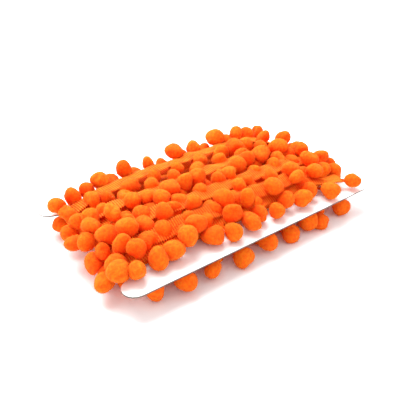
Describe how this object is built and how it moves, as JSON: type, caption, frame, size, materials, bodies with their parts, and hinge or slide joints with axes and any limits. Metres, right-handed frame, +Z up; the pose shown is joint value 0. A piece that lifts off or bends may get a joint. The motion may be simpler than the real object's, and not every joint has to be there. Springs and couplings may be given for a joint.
{
  "type": "pompom fringe trim wound on a card",
  "caption": "Orange pompom fringe trim: a narrow ribbed tape with small round pompoms along one edge, wound lengthwise round a flat white notched card.",
  "frame": {"origin": "centre of the bounding box's bottom face, on the surface that the winding lies on", "axes": "+Z up, +X along the card, +Y across it towards the far long edge"},
  "size_m": [0.1784, 0.1058, 0.0338],
  "materials": {
    "orange_trim": "matte",
    "white_card": "matte"
  },
  "bodies": {
    "root": {"wound_trim": "orange_trim", "card": "white_card"}
  },
  "joints": []
}
